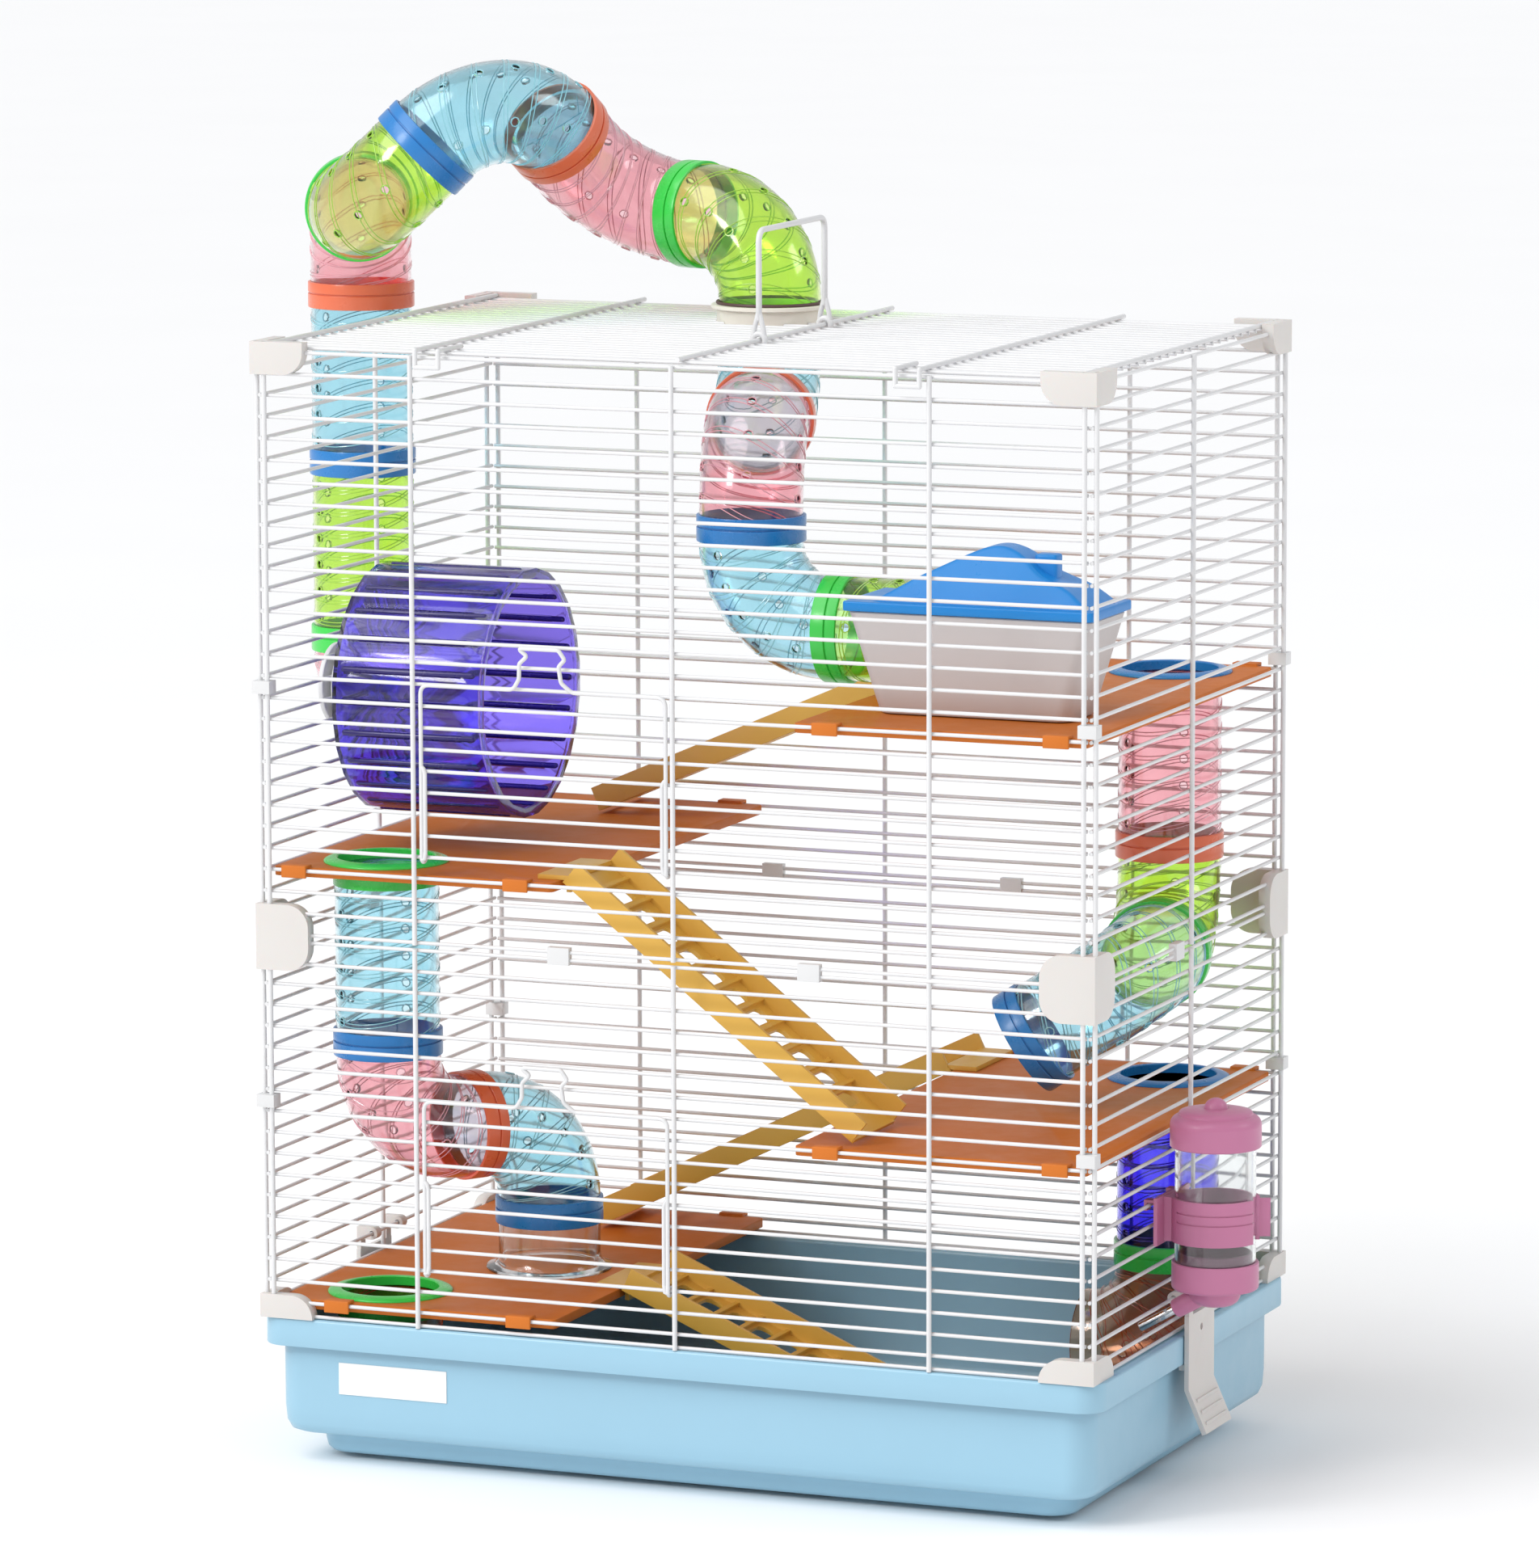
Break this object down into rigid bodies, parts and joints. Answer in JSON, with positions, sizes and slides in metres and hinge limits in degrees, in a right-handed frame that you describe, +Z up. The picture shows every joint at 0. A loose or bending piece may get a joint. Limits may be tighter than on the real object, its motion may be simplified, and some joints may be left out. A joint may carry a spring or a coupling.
{
  "type": "hamster cage",
  "caption": "Tall wire hamster cage on a plastic tray, with shelves, ramps, climbing tubes, running wheel, nest house, drinking bottle, doors and base latches.",
  "frame": {"origin": "middle of the tray's underside, on the floor plane", "axes": "+X to the right along the front, +Y from the front to the back, +Z up"},
  "size_m": [0.585, 0.3055, 0.7302],
  "materials": {
    "tray_plastic": "satin",
    "label": "satin",
    "white_wire": "gloss powder coat",
    "off_white": "satin",
    "shelf_orange": "satin",
    "ring_green": "gloss",
    "ring_blue": "gloss",
    "ring_orange": "gloss",
    "ramp_yellow": "satin",
    "wheel_indigo": "translucent gloss",
    "mount_white": "satin",
    "house_grey": "satin",
    "house_blue": "gloss",
    "bottle_clear": "clear gloss",
    "bottle_pink": "gloss",
    "steel": "polished",
    "flange_cream": "satin",
    "tube_pink": "translucent gloss",
    "tube_green": "translucent gloss",
    "tube_sky": "translucent gloss",
    "tube_indigo": "translucent gloss",
    "tube_amber": "translucent gloss"
  },
  "bodies": {
    "cage": {"tray": "tray_plastic", "label_plate": "label", "front_upper": "white_wire", "front_lower": "white_wire", "back_upper": "white_wire", "back_lower": "white_wire", "left_upper": "white_wire", "left_lower": "white_wire", "right_upper": "white_wire", "right_lower": "white_wire", "top_panel": "white_wire", "top_connectors": "off_white", "mid_connectors": "off_white", "base_connectors": "off_white", "corner_clips": "off_white", "joint_clips": "off_white", "shelf_a": "shelf_orange", "shelf_b": "shelf_orange", "shelf_c": "shelf_orange", "shelf_d": "shelf_orange", "green_rings": "ring_green", "blue_rings": "ring_blue", "ramp_a": "ramp_yellow", "ramp_b": "ramp_yellow", "ramp_c": "ramp_yellow", "ramp_d": "ramp_yellow", "wheel_mount": "mount_white", "house_base": "house_grey", "bottle_body": "bottle_clear", "bottle_cap": "bottle_pink", "bottle_nozzle": "bottle_pink", "bottle_spout": "steel", "bottle_holder": "bottle_pink", "top_flange": "flange_cream", "wall_flange": "flange_cream", "floor_funnel": "bottle_clear", "pink_elbows_outer": "tube_pink", "pink_elbows_inner": "tube_pink", "green_elbows": "tube_green", "sky_elbows_upper": "tube_sky", "sky_elbows_lower": "tube_sky", "arch_tube": "tube_sky", "riser_lower": "tube_green", "riser_upper": "tube_sky", "house_tube": "tube_green", "shelf_a_tube": "tube_sky", "shelf_b_tube": "tube_pink", "shelf_c_tube": "tube_indigo", "tray_elbow": "tube_amber", "tray_stub": "tube_amber", "blue_collars": "ring_blue", "orange_collars": "ring_orange", "green_collars": "ring_green"},
    "wheel": {"wheel": "wheel_indigo"},
    "upper_door": {"door_upper": "white_wire"},
    "lower_door": {"door_lower": "white_wire"},
    "handle": {"handle": "white_wire"},
    "left_latch": {"latch_left": "off_white"},
    "right_latch": {"latch_right": "off_white"},
    "house_lid": {"house_lid": "house_blue"}
  },
  "joints": [
    {"name": "wheel_spin", "type": "hinge", "parent": "cage", "child": "wheel", "pos_m": [-0.16, -0.045, 0.40205], "axis": [1, 0, 0], "continuous": true},
    {"name": "upper_door_hinge", "type": "hinge", "parent": "cage", "child": "upper_door", "pos_m": [-0.07, -0.1469, 0.3286], "axis": [1, 0, 0], "range_deg": [0, 150]},
    {"name": "lower_door_hinge", "type": "hinge", "parent": "cage", "child": "lower_door", "pos_m": [-0.07, -0.1469, 0.1099], "axis": [1, 0, 0], "range_deg": [0, 150]},
    {"name": "handle_swing", "type": "hinge", "parent": "cage", "child": "handle", "pos_m": [0.0065, 0.00575, 0.5926], "axis": [0, 1, 0], "range_deg": [-30, 86]},
    {"name": "left_latch_swing", "type": "hinge", "parent": "cage", "child": "left_latch", "pos_m": [-0.2293, 0, 0.0986], "axis": [0, 1, 0], "range_deg": [0, 95]},
    {"name": "right_latch_swing", "type": "hinge", "parent": "cage", "child": "right_latch", "pos_m": [0.2293, 0, 0.0986], "axis": [0, -1, 0], "range_deg": [0, 84]},
    {"name": "lid_lift", "type": "slide", "parent": "cage", "child": "house_lid", "axis": [0, 0, 1], "range_m": [0, 0.06]}
  ]
}
